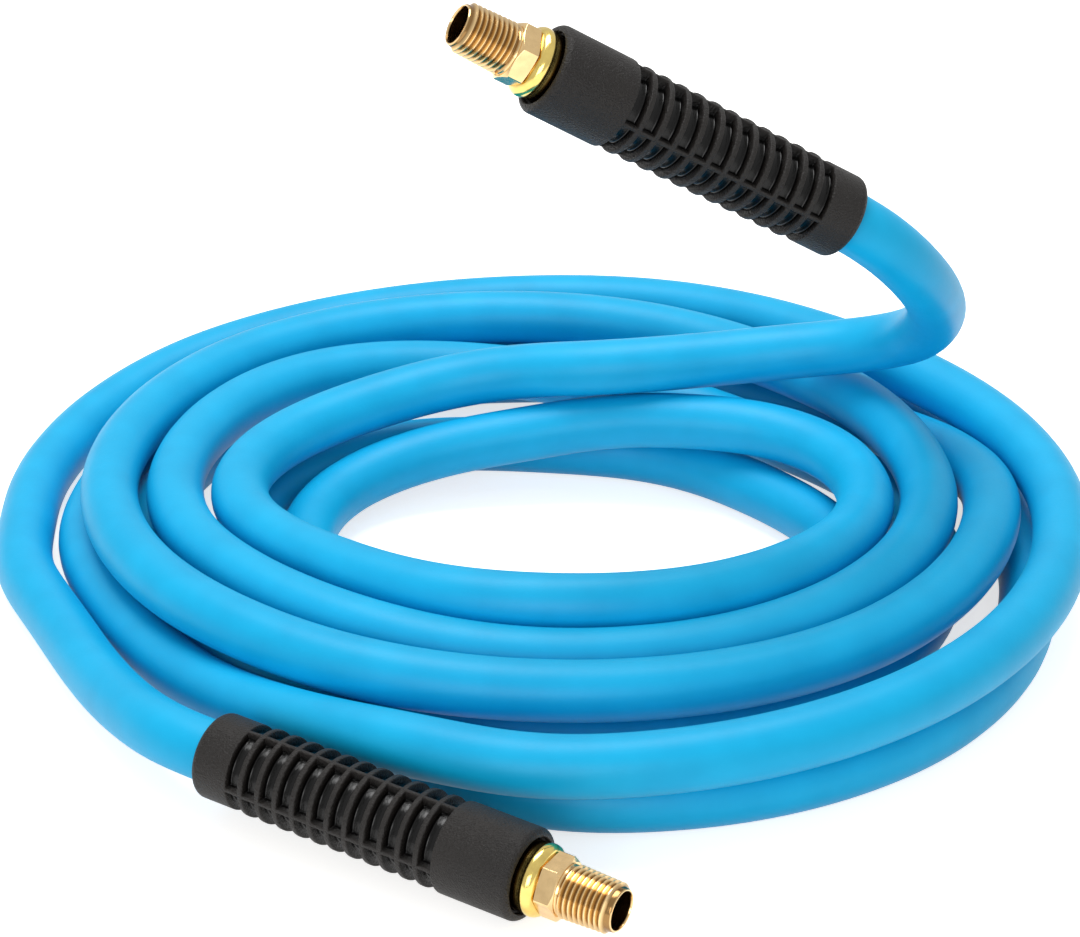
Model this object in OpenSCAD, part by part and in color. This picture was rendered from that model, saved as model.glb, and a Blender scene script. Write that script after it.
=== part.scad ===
// Coiled air hose: one length of flexible hose wound by hand into a flat coil that lies on the floor.
// Each end has a crimped brass fitting with a male pipe thread, and a moulded bend restrictor over the crimp.
// Sizes are in millimetres. +Z is up and the coil lies on z = 0.

/* [Hose] */
// Outside diameter of the hose
hose_d = 16; // [14:0.1:18]
// Thickness of the outer cover
cover_wall = 1; // [0.8:0.1:1.2]
// Thickness of the braid between the cover and the liner
braid_wall = 0.8; // [0.6:0.1:1]
// Thickness of the liner round the air passage
liner_wall = 1.45; // [1.3:0.05:1.8]

/* [Coil] */
// Least gap between neighbouring turns where the coil is crowded
turn_gap = 1.2; // [1:0.1:1.4]
// Rounds of easing that push crowded turns apart
easing_rounds = 60; // [30:10:120]

/* [Bend restrictor] */
// Length of the whole restrictor
sleeve_len = 93; // [88:1:102]
// Gap between the restrictor and the hose or the ferrule in it
clearance = 0.3; // [0.3:0.05:0.4]
// Thickness of the thin tube under the ribs
tube_wall = 0.6; // [0.5:0.1:1]
// Height of the ribs over the thin tube
rib_height = 2.5; // [2:0.1:2.5]
// Number of ribs between the cuff and the collar
rib_count = 11; // [7:1:13]
// Width of one rib along the hose
rib_w = 1.6; // [1.4:0.1:2.4]
// Number of bars that join the ribs
bar_count = 4; // [3:1:6]
// Width of one bar
bar_w = 1.2; // [1.2:0.1:2.4]
// Drop from the ribs down to the cuff at the hose mouth
cuff_drop = 0.3; // [0:0.1:0.5]
// Length of the cuff at the hose mouth
cuff_len = 11; // [9:0.1:13]
// Height of the collar at the fitting over the ribs
collar_step = 0.35; // [0.2:0.05:0.35]
// Length of the collar at the fitting
collar_len = 21.4; // [20:0.1:24]

/* [Ferrule] */
// Thickness of the crimped sleeve round the hose
ferrule_wall = 0.8; // [0.7:0.1:0.9]
// Height of the rolled lip over the sleeve
lip_step = 0.4; // [0.1:0.1:0.5]
// Width of the rolled lip
lip_len = 4.4; // [3.4:0.1:5]

/* [Fitting] */
// Hexagon size across its flats
hex_af = 14.3; // [13:0.1:15]
// Length of the hexagon
hex_len = 5; // [4.5:0.1:7]
// Diameter over the thread crests beside the hexagon
thread_d = 13.8; // [13.4:0.05:13.8]
// Length of the thread
thread_len = 14.8; // [12:0.1:16]
// Distance from crest to crest, 18 to the inch
thread_pitch = 1.4111; // [1.2:0.0001:1.5]
// Depth of the thread
thread_depth = 0.85; // [0.6:0.05:0.9]
// Diameter of the passage at the open end
mouth_d = 9.6; // [8.6:0.1:9.8]
// Thickness of the barbed stem at its tip
stem_wall = 0.95; // [0.8:0.05:1.4]

/* [Hidden] */
$fn = 64;

// ---------------------------------------------------------------- sizes that follow from the ones above
turn_pitch = hose_d + turn_gap;
braid_d = hose_d - 2 * cover_wall;
liner_d = braid_d - 2 * braid_wall;
bore_d = liner_d - 2 * liner_wall;
ferrule_d = hose_d + 2 * ferrule_wall;
lip_d = ferrule_d + 2 * lip_step;
tube_d = hose_d + 2 * (clearance + tube_wall);
rib_d = tube_d + 2 * rib_height;
cuff_d = rib_d - 2 * cuff_drop;
collar_d = rib_d + 2 * collar_step;
// The route is laid out for a hose of 16 mm, and grows and shrinks with the hose.
route_scale = hose_d / 16;
// Place of the coil's own middle, from the middle of the whole footprint on the floor.
coil_at = [1.2, 24.1, 0] * route_scale;

// ---------------------------------------------------------------- colours
hose_blue = "#1FA4E3";
braid_white = "#E6E6E1";
liner_grey = "#C9CDD0";
sleeve_black = "#2A2A2B";
ferrule_gold = "#D9B24A";
fitting_brass = "#CFA56A";

// ---------------------------------------------------------------- route of the hose
// One row for each loop, from the innermost start at the top of the pile to the outermost end on the floor.
// A station is [degrees past the back, radius, height of the hose's centre]; 90 is left, 180 front, 270 right.
LOOPS = [
    [[0, 54.5, 35.5], [45, 70, 27], [90, 85.5, 24.5], [135, 74.5, 26.5], [180, 79.5, 30.5],
     [225, 87.5, 28.5], [270, 92.5, 23], [292, 84, 23.5], [315, 61, 24]],
    [[0, 47.5, 18.5], [22, 49, 16.5], [45, 57, 13], [67, 65, 10], [90, 67.5, 8.5], [125, 69, 8],
     [180, 85, 8], [225, 94, 8], [270, 85, 8], [292, 72.5, 8], [315, 66, 8]],
    [[0, 60, 8], [45, 76, 8], [67, 82, 8], [90, 84.5, 8], [125, 85.5, 8],
     [180, 105, 8], [225, 114, 8], [270, 110, 8], [292, 102, 8], [315, 94, 8.5]],
    [[0, 91, 16], [45, 103, 22.5], [90, 102, 23], [135, 92, 23.5],
     [180, 93, 22.5], [225, 102.5, 23], [270, 109, 23], [292, 106, 26], [315, 106.5, 24]],
    [[0, 116, 23], [45, 124, 23], [90, 120.5, 23.5], [112, 115.5, 23.5], [135, 111, 24],
     [180, 109.5, 23], [225, 119, 23], [270, 126, 23], [292, 120.5, 16], [315, 115.5, 8]],
    [[0, 107.5, 8], [45, 113.5, 8], [90, 110, 8], [108, 104, 8], [125, 101.5, 8], [145, 105.5, 8],
     [160, 116, 8], [180, 133.5, 8], [225, 143, 8], [270, 134.5, 8], [292, 135, 8], [315, 132, 8]],
    [[0, 124, 8], [45, 130.5, 8], [90, 127, 8], [108, 120.3, 8], [125, 118, 8], [145, 121.8, 12.3],
     [160, 128.7, 19], [180, 142, 22], [225, 147, 24.5], [270, 140.5, 24], [292, 133, 24.5], [315, 127, 24.3]],
    [[0, 136, 18.5], [45, 151.5, 12], [67, 151.5, 9], [90, 145, 8]]
];
// Free stretch from the mouth of the upper bend restrictor to the coil's start.
UPPER_RUN = [[77.3, -44.5, 125.5], [86.9, -41.8, 118.8], [96.2, -34.8, 107.8], [102.8, -21.5, 95.8],
             [107.2, -4, 83.3], [109.5, 14, 71.3], [108, 30, 59], [101.5, 42, 50.8], [89.5, 49.3, 45.5],
             [72, 52.8, 42.2], [54, 52.4, 40.3], [36, 50, 39.7]] * route_scale;
// Free stretch from the coil's end to the mouth of the lower bend restrictor.
LOWER_RUN = [[-134.6, -35.8, 8], [-127, -52, 8], [-119.4, -69.2, 8.4], [-110.6, -87.4, 10],
             [-101, -104.8, 12.8], [-92.2, -117.6, 15.4], [-80.6, -125.6, 15.3]] * route_scale;
// Compass direction and rise, in degrees, of each end from its hose mouth to its thread.
UPPER_AIM = [195, 31.4];
LOWER_AIM = [-32.2, -2.1];

rings_a_loop = 24;
coil_sides = 6;
run_sides = 10;
ring_step = 360 / rings_a_loop;
// A faceted hose is sunk and cut flat on the floor by a tenth of its diameter.
sink = hose_d / 10;
// How fast a pushed turn drifts back to its station, and how much it shares a push with its neighbours.
drift_back = 0.004;
sharing = 0.5;
// Rings at each end of the coil that hold still.
fixed_rings = 2;

KEYS = [for (k = [0 : len(LOOPS) - 1]) for (s = LOOPS[k]) [360 * k + s[0], s[1] * route_scale, s[2] * route_scale]];
last_key = len(KEYS) - 1;
ring_count = KEYS[last_key][0] / ring_step + 1;

function slope(i) =
    let (a = KEYS[max(i - 1, 0)], b = KEYS[min(i + 1, last_key)])
    [b[1] - a[1], b[2] - a[2]] / (b[0] - a[0]);

// Radius and height at an angle along the whole coil: a smooth curve through the stations.
function station(angle) =
    let (i = max([for (k = [0 : last_key - 1]) if (KEYS[k][0] <= angle) k]),
         span = KEYS[i + 1][0] - KEYS[i][0],
         t = (angle - KEYS[i][0]) / span,
         p = [KEYS[i][1], KEYS[i][2]],
         q = [KEYS[i + 1][1], KEYS[i + 1][2]])
    (2 * t ^ 3 - 3 * t ^ 2 + 1) * p + (t ^ 3 - 2 * t ^ 2 + t) * span * slope(i)
    + (3 * t ^ 2 - 2 * t ^ 3) * q + (t ^ 3 - t ^ 2) * span * slope(i + 1);

function turned(angle, c) = [c[0] * cos(90 + angle), c[0] * sin(90 + angle), c[1]];
function unit(v) = v / norm(v);
function total(list) = len(list) == 0 ? [0, 0] : [for (v = list) 1] * list;

// A turn that slants across its section is nearer to its neighbours than the section shows.
function slant(c, i) =
    i == 0 || i == len(c) - 1 ? 1 : cos(atan((c[i + 1][0] - c[i - 1][0]) / (2 * ring_step * PI / 180 * c[i][0])));

// Push on ring i from the turns that share its section and are nearer than turn_pitch.
function push(c, tilt, i) =
    total([for (j = [i % rings_a_loop : rings_a_loop : len(c) - 1])
        let (v = [(c[i][0] - c[j][0]) * tilt[i], c[i][1] - c[j][1]], d = norm(v))
        if (j != i && d < turn_pitch) v / d * (turn_pitch - d) / 2]);

function eased_once(base, tilt, u) =
    let (c = base + u)
    [for (i = [0 : len(base) - 1])
        i < fixed_rings || i >= len(base) - fixed_rings ? [0, 0] :
        let (w = u[i] * (1 - drift_back) + push(c, tilt, i) + sharing * ((u[i - 1] + u[i + 1]) / 2 - u[i]),
             floor_lift = hose_d / 2 - sink - base[i][1])
        [w[0], max(w[1], floor_lift)]];

function eased(base, tilt, u, rounds) =
    rounds == 0 ? base + u : eased(base, tilt, eased_once(base, tilt, u), rounds - 1);

// Centre line of the coil, with one straight diameter at each end.
function coil_line() =
    let (base = [for (i = [0 : ring_count - 1]) station(i * ring_step) - [0, sink]],
         tilt = [for (i = [0 : len(base) - 1]) slant(base, i)],
         c = eased(base, tilt, base * 0, easing_rounds))
    concat([coil_start()], [for (i = [0 : len(c) - 1]) turned(i * ring_step, c[i])], [coil_end()]);

last_angle = KEYS[last_key][0];
first_point = turned(0, station(0)) - [0, 0, sink];
last_point = turned(last_angle, station(last_angle)) - [0, 0, sink];
start_heading = unit(turned(1, station(1)) - turned(0, station(0)));
end_heading = unit(turned(last_angle, station(last_angle)) - turned(last_angle - 1, station(last_angle - 1)));
function coil_start() = first_point - hose_d * start_heading;
function coil_end() = last_point + hose_d * end_heading;

// The free runs ease from the fittings' true height down to the sunk coil.
function lowered(points, rest) =
    [for (i = [0 : len(points) - 1]) points[i] - [0, 0, sink * rest(i / len(points))]];

function heading(aim) = [cos(aim[0]) * cos(aim[1]), sin(aim[0]) * cos(aim[1]), sin(aim[1])];

// ---------------------------------------------------------------- least gap of the coil to itself
function halves(line) =
    concat([for (i = [0 : len(line) - 2]) each [line[i], (line[i] + line[i + 1]) / 2]], [line[len(line) - 1]]);

// Distance from a point to the stretch from a to b.
function to_stretch(p, a, b) =
    let (t = max(0, min(1, (p - a) * (b - a) / ((b - a) * (b - a)))))
    norm(p - a - t * (b - a));

// Half a loop on and further, so that a turn isn't measured against itself.
function least_gap(line) =
    let (p = halves(line), far = rings_a_loop)
    min([for (i = [0 : len(p) - 1]) for (j = [i + far : len(p) - 2]) to_stretch(p[i], p[j], p[j + 1])]) - hose_d;

function path_length(line) = [for (i = [1 : len(line) - 1]) 1] * [for (i = [1 : len(line) - 1]) norm(line[i] - line[i - 1])];

// ---------------------------------------------------------------- swept tube
function tube_ring(centre, along, sides) =
    let (side = unit(cross([0, 0, 1], along)), up = cross(along, side))
    [for (k = [0 : sides - 1])
        let (p = centre + hose_d / 2 * (cos(360 * k / sides) * side + sin(360 * k / sides) * up))
        [p[0], p[1], max(p[2], 0)]];

// A closed tube along a line; the end faces are square to the headings given.
module swept_tube(line, first_heading, final_heading, sides) {
    last = len(line) - 1;
    points = [for (i = [0 : last]) each tube_ring(line[i],
        i == 0 ? first_heading : i == last ? final_heading : unit(line[i + 1] - line[i - 1]), sides)];
    walls = [for (i = [0 : last - 1]) for (k = [0 : sides - 1])
        let (a = i * sides + k, b = i * sides + (k + 1) % sides)
        each [[a, b, b + sides], [a, b + sides, a + sides]]];
    first_cap = [for (k = [1 : sides - 2]) [0, k + 1, k]];
    last_cap = [for (k = [1 : sides - 2]) last * sides * [1, 1, 1] + [0, k, k + 1]];
    polyhedron(points, concat(first_cap, walls, last_cap), convexity = 10);
}

module in_frame() {
    translate(coil_at) children();
}

module hose_coil() {
    line = coil_line();
    echo(coil_least_gap = least_gap(line), coil_length = path_length(line));
    color(hose_blue) in_frame() swept_tube(line, start_heading, end_heading, coil_sides);
}

module hose_upper_run() {
    line = concat(lowered(UPPER_RUN, function(t) t), [coil_start()]);
    echo(upper_run_length = path_length(line));
    color(hose_blue) in_frame() swept_tube(line, -heading(UPPER_AIM), start_heading, run_sides);
}

module hose_lower_run() {
    line = concat([coil_end()], lowered(LOWER_RUN, function(t) 1 - t * len(LOWER_RUN) / (len(LOWER_RUN) - 1)));
    echo(lower_run_length = path_length(line));
    color(hose_blue) in_frame() swept_tube(line, end_heading, heading(LOWER_AIM), run_sides);
}

// ---------------------------------------------------------------- places along one end
// Every length along an end is measured from the hose mouth of its bend restrictor, towards the thread.
ferrule_lead = 0.6;
hose_setback = 3;
lip_proud = 0.8;
stem_reach = 8;
// The groove of the snap ridge lies between the last crimp and the hose's end.
ridge_setback = 8.5;
collar_start = sleeve_len - collar_len;
ferrule_start = collar_start + ferrule_lead;
hose_stop = sleeve_len - hose_setback;
lip_start = sleeve_len + lip_proud;
hex_start = lip_start + lip_len;
thread_start = hex_start + hex_len;
end_len = thread_start + thread_len;

// The barbed stem reaches past the ferrule's edge, towards the hose.
stem_start = ferrule_start - stem_reach;
barb_stretch = 0.9;
barb_cut = 0.6;
barb_d = bore_d + barb_stretch;
barb_root_d = bore_d - barb_cut;
barb_tip_d = bore_d - 2 * barb_cut;
stem_bore_d = barb_tip_d - 2 * stem_wall;
barb_count = 5;
barb_pitch = 4.2;
barb_back = 0.8;
barb_lead = 1;
stem_neck = 2;
// How far a cutting shape runs past the faces that it cuts through.
overcut = 1;

// The snap ridge inside the collar runs in a groove round the ferrule.
ridge_at = sleeve_len - ridge_setback;
ridge_w = 2;
ridge_h = 0.6;

module at_mouth(mouth, aim) {
    in_frame() translate(mouth) rotate([0, 90 - aim[1], aim[0]]) children();
}

module at_upper_end() {
    at_mouth(UPPER_RUN[0], UPPER_AIM) children();
}

module at_lower_end() {
    at_mouth(LOWER_RUN[len(LOWER_RUN) - 1], LOWER_AIM) children();
}

// Quarter arc of a rounded edge, from angle a to angle b, for an outline of [radius, length].
function arc(centre, r, a, b) = [for (k = [0 : 5]) centre + r * [cos(a + (b - a) * k / 5), sin(a + (b - a) * k / 5)]];

// ---------------------------------------------------------------- hose layers inside an end
module layer(outer_d, inner_d) {
    difference() {
        cylinder(d = outer_d, h = hose_stop);
        translate([0, 0, -overcut]) cylinder(d = inner_d, h = hose_stop + 2 * overcut);
    }
}

module cover_layer() {
    color(hose_blue) layer(hose_d, braid_d);
}

module braid_layer() {
    color(braid_white) layer(braid_d, liner_d);
}

// The liner is stretched where the barbed stem fills it.
module liner_layer() {
    color(liner_grey) difference() {
        layer(liner_d, bore_d);
        translate([0, 0, stem_start]) cylinder(d = barb_d, h = hose_stop);
    }
}

// ---------------------------------------------------------------- ferrule
crimp_count = 3;
crimp_depth = 0.35;
crimp_pitch = 3;
crimp_half = 1;
crimp_flat = 0.4;
first_crimp = 2.5;
// The rolled lip's arc starts and ends at these angles round its section.
lip_from = -35;
lip_to = 90;

module ferrule() {
    r = ferrule_d / 2;
    lip_r = lip_len / 2;
    crimps = [for (k = [0 : crimp_count - 1])
        let (z = ferrule_start + first_crimp + k * crimp_pitch)
        each [[r, z - crimp_half], [r - crimp_depth, z - crimp_flat],
              [r - crimp_depth, z + crimp_flat], [r, z + crimp_half]]];
    groove_half = ridge_w / 2 + clearance;
    groove = [[r, ridge_at - groove_half], [r - ridge_h, ridge_at - groove_half],
              [r - ridge_h, ridge_at + groove_half], [r, ridge_at + groove_half]];
    rolled_lip = arc([lip_d / 2 - lip_r, lip_start + lip_r], lip_r, lip_from, lip_to);
    outline = concat([[hose_d / 2, ferrule_start], [r, ferrule_start]], crimps, groove, rolled_lip,
                     [[bore_d / 2, hex_start], [bore_d / 2, hose_stop], [hose_d / 2, hose_stop]]);
    color(ferrule_gold) rotate_extrude() polygon(outline);
}

// ---------------------------------------------------------------- fitting
// The thread narrows by one in thirty-two of its length on each side.
taper = 1 / 32;
relief = 0.6;
lead_chamfer = 0.9;
mouth_rim = 0.9;
crest_from = 0.42;
crest_to = 0.58;
tip_cut = 0.6;
wide_bore_from = 2;
// Where the middle of one flat of the hexagon lies, round each end.
UPPER_FLAT = 25;
LOWER_FLAT = 2;

function crest_r(z) = thread_d / 2 - (z - thread_start) * taper;

module threaded_outline() {
    root_r = thread_d / 2 - thread_depth;
    turns = floor((thread_len - relief - lead_chamfer) / thread_pitch);
    ridges = [for (k = [0 : turns - 1])
        let (z = thread_start + relief + k * thread_pitch)
        each [[crest_r(z) - thread_depth, z], [crest_r(z), z + thread_pitch * crest_from],
              [crest_r(z), z + thread_pitch * crest_to], [crest_r(z) - thread_depth, z + thread_pitch]]];
    barbs = [for (k = [0 : barb_count - 1])
        let (z = stem_start + barb_lead + k * barb_pitch)
        each [[barb_root_d / 2, z], [barb_d / 2, z + barb_pitch - barb_back]]];
    polygon(concat(
        [[0, stem_start], [barb_tip_d / 2, stem_start]],
        barbs,
        [[bore_d / 2, hose_stop - stem_neck], [bore_d / 2, hex_start], [root_r, hex_start], [root_r, thread_start]],
        ridges,
        [[crest_r(end_len) - thread_depth * tip_cut, end_len - lead_chamfer],
         [mouth_d / 2 + mouth_rim, end_len], [0, end_len]]));
}

module hexagon(flat_at) {
    corner_r = hex_af / 2 / cos(30);
    edge = corner_r - hex_af / 2;
    intersection() {
        translate([0, 0, hex_start]) rotate(flat_at + 30) cylinder(r = corner_r, h = hex_len, $fn = 6);
        rotate_extrude() polygon([[0, hex_start], [corner_r, hex_start], [corner_r, thread_start - edge / 2],
                                  [corner_r - edge, thread_start], [0, thread_start]]);
    }
}

module fitting(flat_at) {
    color(fitting_brass) difference() {
        union() {
            rotate_extrude() threaded_outline();
            hexagon(flat_at);
        }
        translate([0, 0, stem_start - overcut]) cylinder(d = stem_bore_d, h = end_len);
        translate([0, 0, hex_start + wide_bore_from]) cylinder(d = mouth_d, h = end_len);
    }
}

// ---------------------------------------------------------------- bend restrictor
window_pitch = (collar_start - cuff_len + rib_w) / (rib_count + 1);
edge_r = 1.6;
recess_gap = 0.5;
recess_depth = 1.4;
// How far the bars run into the cuff and the collar, and into the thin tube.
bar_end = 0.2;
bar_root = 0.3;
collar_ramp = 1;
// How far the bars are turned round each end.
UPPER_TURN = 82;
LOWER_TURN = 4;

module bend_restrictor(bar_turn) {
    tube_r = tube_d / 2;
    inner_r = hose_d / 2 + clearance;
    seat_r = ferrule_d / 2 + clearance;
    recess_r = lip_d / 2 + recess_gap;
    bar_len = collar_start - cuff_len + 2 * bar_end;
    step_at = ferrule_start - clearance;
    ribs = [for (k = [1 : rib_count])
        let (z = cuff_len - rib_w + k * window_pitch)
        each [[tube_r, z], [rib_d / 2, z], [rib_d / 2, z + rib_w], [tube_r, z + rib_w]]];
    outline = concat(
        [[inner_r, 0]], arc([cuff_d / 2 - edge_r, edge_r], edge_r, -90, 0),
        [[cuff_d / 2, cuff_len], [tube_r, cuff_len]], ribs,
        [[tube_r, collar_start], [rib_d / 2, collar_start], [collar_d / 2, collar_start + collar_ramp]],
        arc([collar_d / 2 - edge_r, sleeve_len - edge_r], edge_r, 0, 90),
        [[recess_r, sleeve_len], [recess_r, sleeve_len - recess_depth], [seat_r, sleeve_len - recess_depth],
         [seat_r, ridge_at + ridge_w / 2], [seat_r - ridge_h, ridge_at + ridge_w / 2],
         [seat_r - ridge_h, ridge_at - ridge_w / 2], [seat_r, ridge_at - ridge_w / 2],
         [seat_r, step_at], [inner_r, step_at]]);
    color(sleeve_black) union() {
        rotate_extrude() polygon(outline);
        difference() {
            intersection() {
                translate([0, 0, cuff_len - bar_end]) cylinder(d = rib_d, h = bar_len);
                for (k = [0 : bar_count - 1])
                    rotate(bar_turn + k * 360 / bar_count)
                        translate([0, -bar_w / 2, cuff_len - bar_end]) cube([rib_d, bar_w, bar_len]);
            }
            cylinder(r = tube_r - bar_root, h = sleeve_len);
        }
    }
}

hose_coil();
hose_upper_run();
hose_lower_run();
at_upper_end() cover_layer();  // upper_hose_cover
at_upper_end() braid_layer();  // upper_hose_braid
at_upper_end() liner_layer();  // upper_hose_liner
at_upper_end() ferrule();  // upper_ferrule
at_upper_end() fitting(UPPER_FLAT);  // upper_fitting
at_upper_end() bend_restrictor(UPPER_TURN);  // upper_bend_restrictor
at_lower_end() cover_layer();  // lower_hose_cover
at_lower_end() braid_layer();  // lower_hose_braid
at_lower_end() liner_layer();  // lower_hose_liner
at_lower_end() ferrule();  // lower_ferrule
at_lower_end() fitting(LOWER_FLAT);  // lower_fitting
at_lower_end() bend_restrictor(LOWER_TURN);  // lower_bend_restrictor
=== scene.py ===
# %% [markdown]
# # A coiled air hose
# One long blue hose lies wound on the floor. Each end has a black bend restrictor over a crimped brass fitting.
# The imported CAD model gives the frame: every object here is in metres and lies where the CAD part lies.

# %% The frame
import math

import bmesh
import bpy
import numpy as np
from mathutils import Matrix, Vector


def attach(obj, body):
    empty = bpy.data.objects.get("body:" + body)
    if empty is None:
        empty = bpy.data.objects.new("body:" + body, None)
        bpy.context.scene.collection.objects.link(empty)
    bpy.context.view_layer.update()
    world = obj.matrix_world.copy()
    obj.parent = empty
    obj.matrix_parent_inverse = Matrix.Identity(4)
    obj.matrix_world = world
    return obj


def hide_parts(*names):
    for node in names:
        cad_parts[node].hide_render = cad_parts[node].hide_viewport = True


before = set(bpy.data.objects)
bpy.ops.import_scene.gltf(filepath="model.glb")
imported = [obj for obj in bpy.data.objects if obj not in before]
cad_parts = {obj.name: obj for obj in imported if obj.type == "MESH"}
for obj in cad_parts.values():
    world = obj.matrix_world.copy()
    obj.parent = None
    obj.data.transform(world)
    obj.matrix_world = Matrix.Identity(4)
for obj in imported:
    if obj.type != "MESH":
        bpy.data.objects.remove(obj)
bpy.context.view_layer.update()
MM = 0.001

# %% [markdown]
# ## The camera
# The frame is 1080 by 937 pixels. A lens of about 119 mm stands almost a metre off and looks down at 27 degrees on the
# middle of the coil. The coil's middle isn't the origin, because the frame's origin is the middle of the footprint.

# %% Camera
COIL_AT = Vector((1.2, 24.1, 0)) * MM
LOOK_AT = COIL_AT + Vector((0, 0, 31)) * MM
CAMERA_DISTANCE = 990 * MM
LOOK_DOWN = math.radians(27)
LENS = 118.6

camera = bpy.data.objects.new("camera", bpy.data.cameras.new("camera"))
bpy.context.collection.objects.link(camera)
camera.data.sensor_width = 36
camera.data.lens = LENS
camera.data.clip_start = 0.01
camera.location = LOOK_AT + CAMERA_DISTANCE * Vector((0, -math.cos(LOOK_DOWN), math.sin(LOOK_DOWN)))
camera.rotation_euler = (math.pi / 2 - LOOK_DOWN, 0, 0)
bpy.context.scene.camera = camera
print("camera at", tuple(round(x, 4) for x in camera.location))

# %% [markdown]
# ## The hose's route
# A hose that is wound by hand is not a clean spiral. Each loop wanders in and out and climbs over the one before it.
# A curve drawn freely in 3-D would do, but its turns would cut into each other.
# So each loop is a row of stations (degrees past the back, radius, height), as in the part's source, and the crowded
# turns are then eased apart until no two centres are nearer than the pitch.

# %% Stations of the coil and points of the free stretches, in millimetres
HOSE_D = 16.0
TURN_PITCH = 17.2
EASING_ROUNDS = 60
RINGS_A_LOOP = 24
DRIFT_BACK = 0.004
SHARING = 0.5
FIXED_RINGS = 2

LOOPS = [
    [[0, 54.5, 35.5], [45, 70, 27], [90, 85.5, 24.5], [135, 74.5, 26.5], [180, 79.5, 30.5],
     [225, 87.5, 28.5], [270, 92.5, 23], [292, 84, 23.5], [315, 61, 24]],
    [[0, 47.5, 18.5], [22, 49, 16.5], [45, 57, 13], [67, 65, 10], [90, 67.5, 8.5], [125, 69, 8],
     [180, 85, 8], [225, 94, 8], [270, 85, 8], [292, 72.5, 8], [315, 66, 8]],
    [[0, 60, 8], [45, 76, 8], [67, 82, 8], [90, 84.5, 8], [125, 85.5, 8],
     [180, 105, 8], [225, 114, 8], [270, 110, 8], [292, 102, 8], [315, 94, 8.5]],
    [[0, 91, 16], [45, 103, 22.5], [90, 102, 23], [135, 92, 23.5],
     [180, 93, 22.5], [225, 102.5, 23], [270, 109, 23], [292, 106, 26], [315, 106.5, 24]],
    [[0, 116, 23], [45, 124, 23], [90, 120.5, 23.5], [112, 115.5, 23.5], [135, 111, 24],
     [180, 109.5, 23], [225, 119, 23], [270, 126, 23], [292, 120.5, 16], [315, 115.5, 8]],
    [[0, 107.5, 8], [45, 113.5, 8], [90, 110, 8], [108, 104, 8], [125, 101.5, 8], [145, 105.5, 8],
     [160, 116, 8], [180, 133.5, 8], [225, 143, 8], [270, 134.5, 8], [292, 135, 8], [315, 132, 8]],
    [[0, 124, 8], [45, 130.5, 8], [90, 127, 8], [108, 120.3, 8], [125, 118, 8], [145, 121.8, 12.3],
     [160, 128.7, 19], [180, 142, 22], [225, 147, 24.5], [270, 140.5, 24], [292, 133, 24.5], [315, 127, 24.3]],
    [[0, 136, 18.5], [45, 151.5, 12], [67, 151.5, 9], [90, 145, 8]],
]
UPPER_RUN = [[77.3, -44.5, 125.5], [86.9, -41.8, 118.8], [96.2, -34.8, 107.8], [102.8, -21.5, 95.8],
             [107.2, -4, 83.3], [109.5, 14, 71.3], [108, 30, 59], [101.5, 42, 50.8], [89.5, 49.3, 45.5],
             [72, 52.8, 42.2], [54, 52.4, 40.3], [36, 50, 39.7]]
LOWER_RUN = [[-134.6, -35.8, 8], [-127, -52, 8], [-119.4, -69.2, 8.4], [-110.6, -87.4, 10],
             [-101, -104.8, 12.8], [-92.2, -117.6, 15.4], [-80.6, -125.6, 15.3]]
UPPER_AIM = (195.0, 31.4)
LOWER_AIM = (-32.2, -2.1)

# %% Easing the crowded turns apart
KEYS = np.array([[360 * k + a, r, z] for k, row in enumerate(LOOPS) for a, r, z in row], float)


def slope(i):
    before, after = KEYS[max(i - 1, 0)], KEYS[min(i + 1, len(KEYS) - 1)]
    return (after[1:] - before[1:]) / (after[0] - before[0])


def station(angle):
    """Radius and height at an angle along the whole coil."""
    i = int(np.clip(np.searchsorted(KEYS[:, 0], angle, side="right") - 1, 0, len(KEYS) - 2))
    span = KEYS[i + 1, 0] - KEYS[i, 0]
    t = (angle - KEYS[i, 0]) / span
    return ((2 * t**3 - 3 * t**2 + 1) * KEYS[i, 1:] + (t**3 - 2 * t**2 + t) * span * slope(i)
            + (3 * t**2 - 2 * t**3) * KEYS[i + 1, 1:] + (t**3 - t**2) * span * slope(i + 1))


def eased(base):
    """Stations pushed apart where two turns of one section are nearer than the pitch."""
    step = 2 * math.pi / RINGS_A_LOOP
    count = len(base)
    tilt = np.ones(count)
    for i in range(1, count - 1):
        tilt[i] = math.cos(math.atan((base[i + 1, 0] - base[i - 1, 0]) / (2 * step * base[i, 0])))
    moved = np.zeros_like(base)
    for _ in range(EASING_ROUNDS):
        now, new = base + moved, np.zeros_like(moved)
        for i in range(FIXED_RINGS, count - FIXED_RINGS):
            push = np.zeros(2)
            for j in range(i % RINGS_A_LOOP, count, RINGS_A_LOOP):
                apart = (now[i] - now[j]) * (tilt[i], 1)
                distance = math.hypot(*apart)
                if j != i and distance < TURN_PITCH:
                    push += apart / distance * (TURN_PITCH - distance) / 2
            share = SHARING * ((moved[i - 1] + moved[i + 1]) / 2 - moved[i])
            new[i] = moved[i] * (1 - DRIFT_BACK) + push + share
            new[i, 1] = max(new[i, 1], HOSE_D / 2 - base[i, 1])
        moved = new
    return base + moved


def turned(angle, radius, height):
    a = math.radians(90 + angle)
    return np.array([radius * math.cos(a), radius * math.sin(a), height])


ring_step = 360 / RINGS_A_LOOP
ring_angles = np.arange(0, KEYS[-1, 0] + ring_step / 2, ring_step)
coil = eased(np.array([station(a) for a in ring_angles]))
coil_points = [turned(a, *c) for a, c in zip(ring_angles, coil)]
print("coil rings:", len(coil_points), "largest radius, mm:", round(float(coil[:, 0].max()), 1))


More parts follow.
